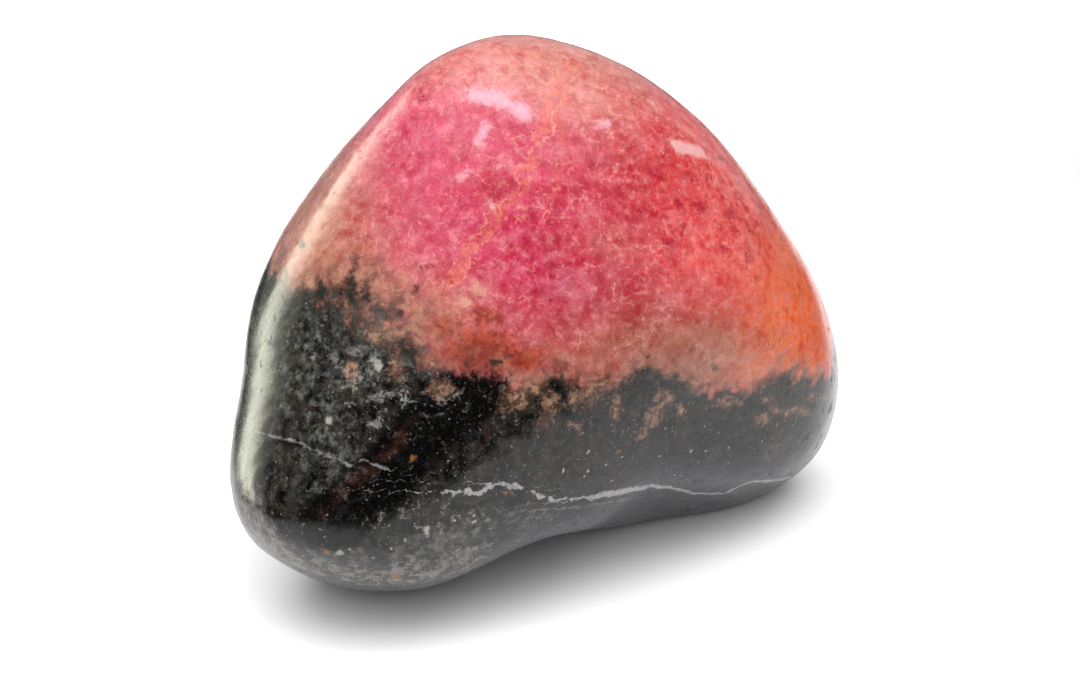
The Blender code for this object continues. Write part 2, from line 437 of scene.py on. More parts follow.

# Milky lilac-white feathers near the crown, and cream spots beside the vein. The widest
# feather, on the crown's front, is partly a painted highlight.
milky_and_highlight = np.maximum.reduce([
    # Partly a painted highlight: the widest feather, on the crown's front.
    spot(-2.6, 12.6, 2.0, 0.65, turn=-12.0),
    spot(-1.0, 11.9, 0.9, 0.6, turn=-30.0),
    0.9 * spot(-3.1, 10.6, 0.4, 1.1, turn=-30.0),
    0.9 * spot(-4.0, 8.5, 0.6, 0.35, turn=30.0),
    0.8 * spot(-2.5, 6.9, 0.15, 0.6, turn=20.0),
    0.7 * spot(3.4, 11.2, 0.8, 0.4, turn=20.0),
    0.6 * spot(2.2, 11.0, 0.2, 0.5),
    0.8 * spot(-6.0, 7.0, 0.8, 2.6, "back", turn=30.0),
    0.7 * spot(2.0, 9.0, 2.0, 0.6, "back", turn=-20.0),
])
cream = np.maximum.reduce([
    spot(-3.2, 2.5, 0.6, 0.45), spot(-4.0, 1.9, 0.5, 0.4), 0.8 * spot(-4.9, 1.2, 0.8, 0.5),
    0.8 * spot(-2.5, 1.0, 0.5, 0.4), 0.7 * spot(1.3, 14.6, 0.9, 0.4, turn=20.0),
    0.7 * spot(-6.4, 0.9, 0.9, 0.4), 0.8 * spot(11.2, 5.2, 0.5, 0.15),
    0.7 * spot(5.0, 13.3, 1.2, 0.2, turn=-20.0),
])
rust = np.maximum.reduce([
    spot(-3.2, -0.8, 2.6, 1.4), 0.9 * spot(-1.0, -1.2, 1.6, 0.8), 0.7 * spot(-5.0, 0.6, 1.2, 1.2),
    0.6 * spot(-3.0, 1.0, 1.5, 1.0), 0.8 * spot(6.0, 1.0, 2.5, 1.2, "back"),
])
crimson = np.maximum.reduce([
    spot(6.0, 7.6, 4.6, 2.8), spot(-2.2, 7.6, 0.6, 0.8), spot(-2.9, 7.9, 0.6, 0.5),
    0.9 * spot(0.5, 4.6, 2.6, 2.2), 0.7 * spot(10.0, 6.0, 2.6, 3.0), spot(-6.0, 12.8, 0.5, 0.4),
    spot(-5.0, 5.0, 5.0, 4.0, "back"),
])
keep_mark("milky_and_highlight", milky_and_highlight)
keep_mark("cream", cream)
keep_mark("rust", rust)
keep_mark("crimson", crimson)
DEEP_SPOTS = [
    (6.0, 8.6, 0.5, 0.45), (7.6, 8.5, 0.4, 0.35), (8.5, 6.8, 0.45, 0.4), (10.0, 6.5, 0.5, 0.5),
    (4.2, 7.5, 0.55, 0.4), (1.9, 10.4, 0.5, 0.4), (2.7, 9.1, 0.4, 0.5), (-2.4, 7.6, 0.5, 0.8),
    (4.9, 6.2, 0.7, 0.45), (0.6, 3.8, 0.6, 0.4), (-0.4, 6.4, 0.4, 0.5), (6.8, 5.0, 0.6, 0.4),
    (9.4, 9.4, 0.45, 0.3), (-0.2, 2.4, 0.7, 0.35), (3.1, 4.2, 0.4, 0.35), (-6.2, 12.6, 0.5, 0.3),
]
keep_mark("deep_spots", np.maximum.reduce([spot(*place) for place in DEEP_SPOTS]))
keep_mark("fibres", np.maximum.reduce([
    spot(0.5, 14.4, 4.5, 1.6), spot(3.0, 12.0, 1.8, 2.6), 0.8 * spot(-1.4, 8.4, 1.4, 4.0, turn=-14.0),
    0.6 * spot(9.5, 8.5, 0.8, 4.0, turn=40.0), 0.7 * spot(0.0, 10.0, 5.0, 3.0, "back"),
]))

# A painted highlight: a pale slanted four-sided flake where one flat cleavage face near the right edge
# catches the light.
flake_away = (points - on_stone(7.8, 9.9)) / MM
flake_up = flake_away @ np.array(up_in_view) + 0.22 * flake_away[:, 0]
flake_across = flake_away[:, 0] + 0.8 * flake_up
flake = np.minimum(0.85 - np.abs(flake_across), 2.6 * (0.26 - np.abs(flake_up)))
flake = np.where(np.linalg.norm(flake_away, axis=1) < 2.5, flake, -1.0)
keep_mark("painted_flake_highlight", np.clip(0.5 + 5.0 * flake, 0.0, 0.7))

# The veins, as routes over the surface: the buff one from the crown, and the quartz threads.
BUFF_VEIN = [
    (1.7, 14.6), (0.6, 12.2), (0.0, 10.6), (-0.6, 8.8), (-1.2, 7.4), (-2.4, 6.3), (-3.7, 4.6), (-4.6, 3.1),
]
BUFF_BRANCH = [(1.3, 13.6), (1.0, 11.2), (1.2, 9.2), (0.6, 7.6)]
QUARTZ_MIDDLE = [
    (-2.4, -7.7), (-1.4, -7.7), (-0.9, -7.9), (-0.2, -8.3), (0.7, -8.5), (1.9, -8.5), (3.0, -8.3),
]
QUARTZ_THREAD = [
    (2.6, -8.4), (3.7, -8.2), (4.8, -8.0), (5.8, -7.8), (7.0, -7.9), (8.1, -8.2), (9.7, -8.2),
    (10.3, -7.9), (10.9, -7.6), (12.3, -7.5), (13.0, -7.4),
]
QUARTZ_START = [(-5.6, -8.1), (-4.6, -8.1), (-3.2, -8.1), (-2.3, -7.7), (-1.4, -7.8)]
QUARTZ_BRANCH = [(-0.5, -9.1), (2.0, -8.9), (5.3, -8.4)]
QUARTZ_ON_LEFT = [
    (-15.7, -4.0), (-14.8, -5.0), (-13.1, -5.4), (-11.6, -6.0), (-10.0, -6.7), (-9.2, -6.5), (-8.2, -6.8),
]
QUARTZ_BEHIND = [(-14.0, -5.5), (-9.0, -3.0), (-4.0, -3.8), (2.0, -1.5), (8.0, -3.5), (13.0, -5.5)]
keep_mark("buff_vein", thread(BUFF_VEIN))
keep_mark("buff_branch", thread(BUFF_BRANCH))
keep_mark("quartz_thread", thread(QUARTZ_THREAD))
keep_mark("quartz_middle", thread(QUARTZ_MIDDLE))
keep_mark("quartz_start", thread(QUARTZ_START))
keep_mark("quartz_branch", thread(QUARTZ_BRANCH))
keep_mark("quartz_left", thread(QUARTZ_ON_LEFT))
keep_mark("quartz_behind", thread(QUARTZ_BEHIND, "back"))

# The oxide's own zones: a deep black band, a brown streak along it, grey worn skin on the lobe, a pale
# granular rim under the lobe, and where cobwebs and flecks of quartz show. A lighter grey where the
# underside faces down is a painted reflection of the table.
DEEP_BAND = [(-3.2, -2.6), (-5.3, -4.0), (-7.0, -6.0), (-9.2, -8.6), (-11.2, -10.0)]
BROWN_STREAK = [(-6.6, -4.2), (-7.6, -5.6), (-9.0, -7.0), (-10.4, -8.0), (-11.4, -9.3)]
PALE_RIM = [(-15.2, -9.0), (-14.2, -11.0), (-12.2, -12.0), (-9.6, -12.6), (-6.8, -12.6), (-3.8, -11.8)]
band_distance = np.abs(thread(DEEP_BAND))
streak_distance = np.abs(thread(BROWN_STREAK))
rim_distance = np.abs(thread(PALE_RIM))
keep_mark("deep_black", np.exp(-((band_distance / 1.7) ** 3)))
keep_mark("brown", np.exp(-((streak_distance / 0.6) ** 2)))
keep_mark("pale_rim", np.exp(-((rim_distance / 1.5) ** 2)))
keep_mark("cobweb", np.maximum.reduce([
    spot(-8.6, -2.6, 3.2, 2.8), 0.7 * spot(-11.5, -1.2, 2.0, 2.6), 0.5 * spot(-11.0, -6.0, 3.0, 3.0),
    0.8 * spot(-4.5, -3.4, 1.2, 0.9), 0.9 * spot(-6.0, -9.6, 4.5, 1.2),
    0.8 * spot(0.0, -6.8, 4.0, 2.0, "back"),
]))
keep_mark("flecks", np.maximum.reduce([
    spot(-5.5, -10.4, 5.0, 1.8), 0.8 * spot(2.0, -7.0, 5.0, 2.0), 0.6 * spot(9.0, -5.5, 5.0, 2.0),
    0.6 * spot(-10.0, -9.5, 3.0, 1.6), 0.7 * spot(0.0, -6.0, 9.0, 4.0, "back"),
]))
ANGULAR_FLECKS = [
    (-11.0, -4.4, 0.28, 0.4, "front", 20.0), (-6.0, -10.3, 0.18, 0.45, "front", 25.0),
    (-5.75, -9.9, 0.35, 0.12, "front", 40.0), (-3.5, -9.65, 0.28, 0.14, "front", 30.0),
    (-7.2, -10.7, 0.3, 0.1, "front", 35.0), (-10.5, -11.3, 0.35, 0.16, "front", 15.0),
    (-4.2, -9.4, 0.2, 0.12), (-6.8, -11.4, 0.22, 0.12), (-4.9, -7.6, 0.14, 0.1),
    (-8.7, -11.5, 0.3, 0.1, "front", 10.0), (-5.0, -10.9, 0.12, 0.2), (-8.0, -9.0, 0.12, 0.12),
    (-6.6, -4.6, 0.2, 0.12, "front", 30.0), (-4.1, -8.0, 0.4, 0.12, "front", -8.0),
    (-2.6, -7.9, 0.3, 0.12), (2.0, -6.4, 0.12, 0.08), (-7.3, -3.2, 0.4, 0.2, "front", 20.0),
    (-8.6, -1.4, 0.5, 0.3, "front", -30.0), (-8.0, -2.9, 0.35, 0.2, "front", 40.0),
]
keep_mark("angular_flecks", np.maximum.reduce([spot(*place) for place in ANGULAR_FLECKS]))
# Painted shade: a darker spot in the shallow chip at the left edge.
keep_mark("chip_shade", spot(-15.85, -5.0, 0.3, 0.95))
keep_mark("scar", np.abs(np.linalg.norm((points - on_stone(12.1, -6.0)) / MM, axis=1) - 0.45))
keep_mark("ochre", np.maximum.reduce([
    spot(-11.3, -11.2, 0.4, 0.25), spot(-7.6, -12.5, 0.4, 0.22), spot(4.1, -6.0, 0.25, 0.12, turn=30.0),
    0.8 * spot(-1.8, -8.2, 0.5, 0.16), 0.9 * spot(-6.6, -6.3, 0.28, 0.18),
]))
keep_mark("smoky", np.maximum.reduce([
    spot(-12.2, -1.5, 2.6, 3.6), 0.8 * spot(-11.5, -6.5, 2.5, 3.0), 0.9 * spot(-8.8, -0.8, 3.0, 2.4),
    0.6 * spot(-4.6, -3.0, 1.6, 1.0), 0.7 * spot(-4.0, -3.0, 5.0, 3.0, "back"),
]))
keep_mark("lobe", np.maximum.reduce([
    spot(-5.2, -10.8, 4.0, 1.3, turn=14.0), 0.8 * spot(-10.5, -11.6, 3.0, 1.0),
    0.7 * spot(-1.0, -9.6, 3.0, 1.0),
]))

# A lighter grey is painted where the underside faces down by this much, and wholly by that much more: a
# painted reflection of the white table under it.
UNDER_FROM = 0.15
UNDER_TO_WHOLE = 0.35
keep_mark("painted_table_reflection", np.clip((-UNDER_FROM - normals[:, 2]) / UNDER_TO_WHOLE, 0.0, 1.0))


# The polished surface.
# Massive rhodonite is a mosaic of grains under a millimetre across, each a little lighter or
# darker, with paler edges. Manganese oxide grew through it in branching crusts. Both take a
# wet-looking polish with fine scratches.

nodes = polished.node_tree.nodes
links = polished.node_tree.links
nodes.clear()


def put(kind, feeds=None, **settings):
    """A node of the stone's material, with its settings and what feeds its sockets."""
    made = nodes.new(kind)
    for setting, value in settings.items():
        setattr(made, setting, value)
    for socket, feed in (feeds or {}).items():
        if isinstance(feed, bpy.types.NodeSocket):
            links.new(feed, made.inputs[socket])
        else:
            made.inputs[socket].default_value = feed
    return made


def mark(name):
    """The stored value of a marking."""
    return put("ShaderNodeAttribute", attribute_name=name).outputs["Fac"]


def maths(operation, first, second=0.0):
    """One sum of two values."""
    return put("ShaderNodeMath", {0: first, 1: second}, operation=operation).outputs[0]


def step(value, start, end, low=0.0, high=1.0):
    """Goes smoothly from low to high as the value goes from start to end."""
    feeds = {"Value": value, "From Min": start, "From Max": end, "To Min": low, "To Max": high}
    return put("ShaderNodeMapRange", feeds, interpolation_type="SMOOTHSTEP").outputs[0]


def cover(share, under, over):
    """One colour laid over another."""
    return put("ShaderNodeMix", {0: share, 6: under, 7: over}, data_type="RGBA").outputs[2]


def cloud(where, size, detail=3.0, roughness=0.5):
    """Cloudy noise around 0.5, its blotches about that many millimetres across."""
    feeds = {"Vector": where, "Scale": 1.0 / size, "Detail": detail, "Roughness": roughness}
    return put("ShaderNodeTexNoise", feeds)


def grains(where, size, feature="F1", shape="EUCLIDEAN"):
    """A mosaic of grains about that many millimetres across."""
    feeds = {"Vector": where, "Scale": 1.0 / size}
    return put("ShaderNodeTexVoronoi", feeds, feature=feature, distance=shape)


def shares_of(mosaic):
    """Three random shares for each grain of a mosaic."""
    return put("ShaderNodeSeparateColor", {0: mosaic.outputs["Color"]}).outputs


def solid(colour):
    """A colour for a socket."""
    return (*colour, 1.0)


def signed(value, reach):
    """Noise turned into a push either way, to that reach at its usual strongest."""
    return maths("MULTIPLY", maths("SUBTRACT", value, 0.5), 4.0 * reach)


def ragged(name, noise, reach, start=0.35, end=0.75, most=1.0):
    """A stored marking with its edge broken up by noise."""
    return step(maths("ADD", mark(name), signed(noise, reach)), start, end, 0.0, most)


RHODONITE_GRAIN = 0.56
SEAM_GRAIN = 0.52
QUARTZ_SPECK = 0.27
QUARTZ_FLECK = 0.42
GROWTH_BEND = 0.8
TO_MILLIMETRES = (1.0 / MM, 1.0 / MM, 1.0 / MM)

in_metres = put("ShaderNodeTexCoord").outputs["Object"]
place = put("ShaderNodeMapping", {"Vector": in_metres, "Scale": TO_MILLIMETRES}).outputs[0]
drift = put("ShaderNodeVectorMath", {0: cloud(place, 1.3, 2.0).outputs["Color"], 1: (0.5, 0.5, 0.5)},
            operation="SUBTRACT").outputs[0]
drift = put("ShaderNodeVectorMath", {0: drift, "Scale": GROWTH_BEND}, operation="SCALE").outputs[0]
bent = put("ShaderNodeVectorMath", {0: place, 1: drift}, operation="ADD").outputs[0]
fine = cloud(place, 0.13, 4.0, 0.65).outputs["Fac"]
mottle = cloud(place, 0.42, 7.0, 0.62).outputs["Fac"]
soot = cloud(bent, 0.75, 8.0, 0.66).outputs["Fac"]
blotch = cloud(bent, 1.1, 5.0, 0.55).outputs["Fac"]
feather = cloud(bent, 0.65, 8.0, 0.68).outputs["Fac"]
broad = cloud(place, 2.4, 3.0).outputs["Fac"]

# The rose mosaic: clouds of deeper and paler rose, and grains a little lighter or darker.
DEEPENING_TINT = (0.86, 0.42, 0.5, 1.0)
PALE_GRAIN = (0.62, 0.23, 0.26, 1.0)

rose = put("ShaderNodeAttribute", attribute_name="rhodonite_tint").outputs["Color"]
grain = grains(bent, RHODONITE_GRAIN)
grain_share = shares_of(grain)
deeper = put("ShaderNodeMix", {0: 1.0, 6: rose, 7: DEEPENING_TINT}, data_type="RGBA",
             blend_type="MULTIPLY").outputs[2]
deep_cloud = maths("ADD", step(blotch, 0.52, 0.36, 0.0, 0.6), step(mottle, 0.5, 0.36, 0.0, 0.35))
deep_cloud = maths("ADD", deep_cloud, step(grain.outputs["Distance"], 0.45, 0.1, 0.0, 0.3))
rose = cover(deep_cloud, rose, deeper)
paler = put("ShaderNodeMix", {0: 0.5, 6: rose, 7: PALE_GRAIN}, data_type="RGBA").outputs[2]
pale_cloud = maths("ADD", step(blotch, 0.52, 0.68, 0.0, 0.5), step(mottle, 0.53, 0.67, 0.0, 0.35))
pale_cloud = maths("ADD", pale_cloud, step(grain_share[0], 0.55, 1.0, 0.0, 0.2))
pale_cloud = maths("ADD", pale_cloud, step(grain.outputs["Distance"], 0.4, 0.7, 0.0, 0.12))
rose = cover(pale_cloud, rose, paler)
lightness = step(grain_share[1], 0.0, 1.0, 0.92, 1.06)
lightness = maths("ADD", lightness, step(fine, 0.32, 0.68, -0.12, 0.12))
rose = put("ShaderNodeHueSaturation", {"Value": lightness, "Color": rose}).outputs[0]

# Deep crimson grains, darkest in their middles, and pale broken seams, fibres and dust.
DEEP_GRAIN = paint(134, 12, 34)
DEEP_PATCH = paint(140, 10, 38)
PALE_SEAM = (0.72, 0.36, 0.32, 1.0)
BUFF_FIBRE = paint(204, 132, 104)
PALE_DUST = paint(206, 140, 122)
DARK_GRIT = paint(96, 16, 24)

deep_grain = step(grain.outputs["Distance"], 0.6, 0.25)
deep_grain = maths("MULTIPLY", deep_grain, step(grain_share[2], 0.55, 0.85))
deep_grain = maths("MULTIPLY", deep_grain, step(mottle, 0.6, 0.46, 0.25, 1.0))
deep_grain = maths("MULTIPLY", deep_grain, step(mark("crimson"), 0.05, 0.7, 0.05, 0.45))
rose = cover(deep_grain, rose, solid(DEEP_GRAIN))
deep_patch = maths("MULTIPLY", step(soot, 0.47, 0.37), step(mark("crimson"), 0.0, 0.7, 0.15, 0.7))
deep_patch = maths("MAXIMUM", deep_patch, ragged("deep_spots", mottle, 0.5, 0.3, 1.0, 0.8))
rose = cover(deep_patch, rose, solid(DEEP_PATCH))

pale_rose = put("ShaderNodeMix", {0: 0.6, 6: rose, 7: PALE_SEAM}, data_type="RGBA").outputs[2]
seam = step(grains(bent, SEAM_GRAIN, "DISTANCE_TO_EDGE").outputs["Distance"], 0.15, 0.0)
seam = maths("MULTIPLY", seam, step(mottle, 0.46, 0.6))
seam = maths("MULTIPLY", seam, step(broad, 0.38, 0.6, 0.1, 0.5))
seam = maths("MULTIPLY", seam, step(fine, 0.36, 0.56, 0.25, 1.0))
rose = cover(seam, rose, pale_rose)
contour = maths("ABSOLUTE", maths("SUBTRACT", cloud(bent, 0.9, 5.0, 0.6).outputs["Fac"], 0.5))
fibre = maths("MULTIPLY", step(contour, 0.022, 0.0), step(mottle, 0.44, 0.58))
fibre = maths("MULTIPLY", fibre, step(mark("fibres"), 0.0, 0.8, 0.25, 0.75))
rose = cover(fibre, rose, solid(BUFF_FIBRE))
dust = maths("MULTIPLY", step(fine, 0.57, 0.72), step(feather, 0.47, 0.62, 0.05, 0.6))
rose = cover(dust, rose, solid(PALE_DUST))
grit = maths("MULTIPLY", step(fine, 0.42, 0.28), step(feather, 0.52, 0.38, 0.0, 0.5))
rose = cover(grit, rose, solid(DARK_GRIT))

# Milky lilac-white feathers. The widest, on the crown's front, is partly a painted highlight.
milk_and_highlight = ragged("milky_and_highlight", feather, 0.4, 0.3, 1.0, 0.85)
rose = cover(maths("MULTIPLY", milk_and_highlight, step(fine, 0.3, 0.6, 0.65, 1.0)), rose, solid(LILAC_WHITE))
rose = cover(ragged("cream", mottle, 0.5, 0.3, 1.0, 0.7), rose, solid(CREAM))

# The buff vein, stringy and broken, paler along its edges.
BUFF = paint(188, 96, 74)
PALE_BUFF = paint(206, 140, 116)

strings = signed(cloud(place, 1.1, 6.0, 0.6).outputs["Fac"], 0.4)
vein_side = maths("ABSOLUTE", maths("ADD", mark("buff_vein"), strings))
vein = maths("MULTIPLY", step(vein_side, 0.5, 0.12, 0.0, 0.6), step(mottle, 0.42, 0.6, 0.15, 1.0))
vein_edge = maths("ABSOLUTE", maths("SUBTRACT", vein_side, 0.34))
vein_edge = maths("MULTIPLY", step(vein_edge, 0.09, 0.0), 0.5)
branch_side = maths("ABSOLUTE", maths("ADD", mark("buff_branch"), strings))
vein = maths("MAXIMUM", vein, maths("MULTIPLY", step(branch_side, 0.3, 0.0), 0.3))
rose = cover(vein, rose, solid(BUFF))
vein_edge = maths("MULTIPLY", vein_edge, step(feather, 0.44, 0.56))
rose = cover(vein_edge, rose, solid(PALE_BUFF))

# Rusty staining over the rose near the oxide, and the buff and brown fringe along it.
BRIGHT_RUST = paint(158, 62, 34)
DARK_RUST = paint(66, 18, 12)
BROWN_FRINGE = paint(94, 56, 48)
BUFF_FRINGE = paint(152, 104, 86)
BROWN_VEIL = paint(86, 66, 58)

rust_colour = cover(step(mottle, 0.42, 0.6), solid(RUST), solid(BRIGHT_RUST))
rose = cover(ragged("rust", soot, 0.4, 0.2, 0.8, 0.9), rose, rust_colour)
rose = cover(ragged("rust", mottle, 0.6, 0.7, 1.2, 0.6), rose, solid(DARK_RUST))

softness = maths("ADD", 1.0, maths("MULTIPLY", mark("mixed_zone"), 2.4))
oxide_here = maths("ADD", mark("oxide"), signed(cloud(bent, 1.7, 3.0).outputs["Fac"], 0.55))
oxide_here = maths("ADD", oxide_here, maths("MULTIPLY", signed(feather, 0.55), softness))
oxide_here = maths("ADD", oxide_here, maths("MULTIPLY", signed(mottle, 0.3), softness))
oxide_here = maths("DIVIDE", maths("ADD", oxide_here, signed(fine, 0.22)), softness)
fringe_share = maths("MULTIPLY", mark("mixed_zone"), 0.3)
fringe_share = maths("ADD", step(blotch, 0.4, 0.6, 0.45, 0.9), fringe_share)
fringe_share = maths("MULTIPLY", fringe_share, step(mark("rust"), 0.2, 0.9, 1.0, 0.35))
fringe = maths("MULTIPLY", step(oxide_here, -1.7, -0.2), fringe_share)
fringe_colour = cover(step(soot, 0.42, 0.58), solid(BROWN_FRINGE), solid(BUFF_FRINGE))
rose = cover(fringe, rose, fringe_colour)
veil = maths("MULTIPLY", step(oxide_here, -0.9, 0.2), maths("MULTIPLY", mark("mixed_zone"), 0.6))
rose = cover(veil, rose, solid(BROWN_VEIL))

# The oxide: black, grey and brown, and smoky where rhodonite still shows through.
SOOT_BLACK = paint(4, 4, 4)
SOOT_GREY = paint(34, 33, 31)
OXIDE_BROWN = paint(43, 31, 25)
OXIDE_BUFF = paint(56, 53, 47)
DARK_SMOKE = paint(37, 39, 36)
PALE_SMOKE = paint(77, 78, 73)
# The grey of the painted reflection of the table, where the underside faces down.
PAINTED_REFLECTION_GREY = paint(54, 55, 59)
LOBE_GREY = paint(50, 50, 50)
LOBE_PALE = paint(94, 93, 90)
LOBE_GRAIN = paint(118, 116, 112)
STREAK_BROWN = paint(46, 24, 17)

black = cover(step(soot, 0.42, 0.62), solid(SOOT_BLACK), solid(SOOT_GREY))
black = cover(step(blotch, 0.54, 0.66, 0.0, 0.7), black, solid(OXIDE_BROWN))
black = cover(step(mottle, 0.52, 0.68, 0.0, 0.55), black, solid(OXIDE_BUFF))
smoke = maths("MULTIPLY", step(feather, 0.42, 0.58), step(mark("smoky"), 0.1, 0.8, 0.0, 0.85))
smoke_colour = cover(step(mottle, 0.42, 0.6), solid(DARK_SMOKE), solid(PALE_SMOKE))
black = cover(smoke, black, smoke_colour)
# Painted reflection of the table: lighter grey where the underside faces down.
black = cover(maths("MULTIPLY", mark("painted_table_reflection"), 0.7), black, solid(PAINTED_REFLECTION_GREY))
lobe_colour = cover(step(mottle, 0.44, 0.56), solid(LOBE_GREY), solid(LOBE_PALE))
lobe_colour = cover(step(fine, 0.54, 0.66, 0.0, 0.6), lobe_colour, solid(LOBE_GRAIN))
black = cover(ragged("lobe", feather, 0.5, 0.35, 1.1, 0.7), black, lobe_colour)
deep_here = ragged("deep_black", soot, 0.3, 0.2, 0.65, 0.97)
black = cover(deep_here, black, solid(SOOT_BLACK))
black = cover(ragged("brown", feather, 0.7, 0.5, 1.3, 0.7), black, solid(STREAK_BROWN))

# Quartz in the oxide: thin arcs, powder, ash, specks and flecks.
ARC_GREY = paint(118, 118, 114)
POWDER_GREY = paint(138, 136, 132)
ASH_GREY = paint(84, 80, 72)
SPECK_GREY = paint(120, 118, 113)
SPECK_BUFF = paint(120, 96, 70)
FLECK_WHITE = paint(148, 144, 138)

arc_cell = grains(bent, 1.0)
arc = step(maths("ABSOLUTE", maths("SUBTRACT", arc_cell.outputs["Distance"], 0.4)), 0.07, 0.0)
arc = maths("MULTIPLY", arc, step(feather, 0.52, 0.62))
arc = maths("MULTIPLY", arc, step(mark("cobweb"), 0.1, 0.8, 0.05, 0.65))
black = cover(arc, black, solid(ARC_GREY))
powder = maths("MULTIPLY", step(feather, 0.52, 0.64), step(fine, 0.42, 0.6))
powder = maths("MULTIPLY", powder, step(mark("cobweb"), 0.2, 0.9, 0.03, 0.7))
black = cover(powder, black, solid(POWDER_GREY))
ash = maths("MULTIPLY", step(fine, 0.54, 0.7), step(mottle, 0.44, 0.6, 0.1, 0.8))
ash = maths("MULTIPLY", ash, step(deep_here, 1.0, 0.5, 0.3, 1.0))
black = cover(ash, black, solid(ASH_GREY))

speck_grain = grains(bent, QUARTZ_SPECK, shape="MANHATTAN")
speck_share = shares_of(speck_grain)
speck_edge = maths("ADD", speck_grain.outputs["Distance"], signed(fine, 0.1))
speck = maths("MULTIPLY", step(speck_edge, 0.36, 0.2), step(speck_share[0], 0.5, 0.85))
speck = maths("MULTIPLY", speck, step(feather, 0.4, 0.58, 0.2, 0.85))
speck = maths("MULTIPLY", speck, step(deep_here, 1.0, 0.5, 0.6, 1.0))
speck_colour = cover(step(speck_share[1], 0.6, 0.7), solid(SPECK_GREY), solid(SPECK_BUFF))
black = cover(speck, black, speck_colour)

fleck_grain = grains(bent, QUARTZ_FLECK, shape="MANHATTAN")
fleck_size = step(shares_of(fleck_grain)[0], 0.68, 1.0, 0.0, 0.42)
fleck_edge = maths("ADD", fleck_grain.outputs["Distance"], signed(mottle, 0.2))
fleck_gap = maths("SUBTRACT", fleck_size, fleck_edge)
fleck = maths("MULTIPLY", step(fleck_gap, 0.0, 0.1), step(mark("flecks"), 0.05, 0.7, 0.2, 0.85))
fleck = maths("MULTIPLY", fleck, step(deep_here, 1.0, 0.5, 0.5, 1.0))
fleck = maths("MAXIMUM", fleck, ragged("angular_flecks", mottle, 0.5, 0.5, 0.9, 0.8))
black = cover(fleck, black, solid(FLECK_WHITE))

# The granular rim under the lobe, a ring-shaped scar on the right, and painted shade in the chip at the
# left edge.
RIM_DARK = paint(50, 47, 43)
RIM_GREY = paint(112, 109, 102)
RIM_PALE = paint(150, 144, 134)
SCAR_BROWN = paint(98, 80, 76)
CHIP_SHADE_DARK = paint(20, 18, 16)

granules = cover(step(feather, 0.42, 0.58), solid(RIM_DARK), solid(RIM_GREY))
granules = cover(step(fine, 0.55, 0.68, 0.0, 0.7), granules, solid(RIM_PALE))
rim_here = step(maths("ADD", mark("pale_rim"), signed(mottle, 0.5)), 0.35, 0.8, 0.0, 0.85)
black = cover(rim_here, black, granules)
scar = maths("MULTIPLY", step(maths("ADD", mark("scar"), signed(mottle, 0.3)), 0.2, 0.0), 0.5)
black = cover(scar, black, solid(SCAR_BROWN))
# Painted shade in the chip at the left edge.
black = cover(ragged("chip_shade", mottle, 0.2, 0.4, 0.6, 0.9), black, solid(CHIP_SHADE_DARK))

# The quartz threads, the ochre spots and the buff islands.
QUARTZ_WHITE = paint(156, 154, 152)
OCHRE = paint(124, 84, 42)
ISLAND_BROWN = paint(84, 62, 50)
ISLAND_BUFF = paint(158, 118, 96)

broken = cloud(place, 0.5, 5.0, 0.6).outputs["Fac"]
jitter = signed(cloud(place, 0.6, 6.0, 0.62).outputs["Fac"], 0.16)


def quartz(name, half_width, least, share):
    """A white thread along a route, of uneven width, with gaps."""
    offset = maths("ABSOLUTE", maths("ADD", mark(name), jitter))
    width = step(broken, 0.3, 0.7, half_width * least, half_width * 1.5)
    return maths("MULTIPLY", step(maths("SUBTRACT", width, offset), -0.07, 0.06), share)


# Each thread's half width in millimetres, its least share of that, and how white it is. A least
# share below nothing leaves gaps.
QUARTZ_THREADS = {
    "quartz_thread": (0.16, 0.6, 0.8),
    "quartz_left": (0.07, -0.8, 0.4),
    "quartz_middle": (0.13, -0.6, 0.8),
    "quartz_start": (0.18, -1.0, 0.75),
    "quartz_branch": (0.06, -0.4, 0.3),
    "quartz_behind": (0.14, -0.1, 0.8),
}
white = 0.0
for thread_name, widths in QUARTZ_THREADS.items():
    white = maths("MAXIMUM", white, quartz(thread_name, *widths))
white = maths("MULTIPLY", white, step(mottle, 0.34, 0.5, 0.45, 1.0))
black = cover(white, black, solid(QUARTZ_WHITE))
black = cover(ragged("ochre", mottle, 0.4, 0.4, 0.8, 0.7), black, solid(OCHRE))

island = maths("ADD", mark("buff_islands"), signed(feather, 0.5))
island = maths("ADD", island, signed(fine, 0.28))
island_colour = cover(step(mottle, 0.42, 0.58), solid(ISLAND_BROWN), solid(ISLAND_BUFF))
black = cover(step(island, 0.2, 1.2, 0.0, 0.8), black, island_colour)

# The oxide over the rose, its outliers, and the painted highlight on the cleavage face.
DENDRITE_BLACK = paint(26, 28, 24)
PAINTED_HIGHLIGHT_PALE = paint(206, 164, 162)

oxide_cover = step(oxide_here, -0.45, 0.4)
colour = cover(oxide_cover, rose, black)
dendrite = maths("ADD", mark("outliers"), signed(feather, 0.5))
dendrite = step(maths("ADD", dendrite, signed(fine, 0.25)), 0.3, 0.95, 0.0, 0.85)
colour = cover(dendrite, colour, solid(DENDRITE_BLACK))
# A painted highlight on the flat cleavage face near the right edge.
colour = cover(mark("painted_flake_highlight"), colour, solid(PAINTED_HIGHLIGHT_PALE))

# The polish: glossy, a little duller where it is scratched or sooty.
POLISH_IOR = 1.4
SCRATCH_STRENGTH = 0.16
SCRATCH_DEPTH = 0.035 * MM

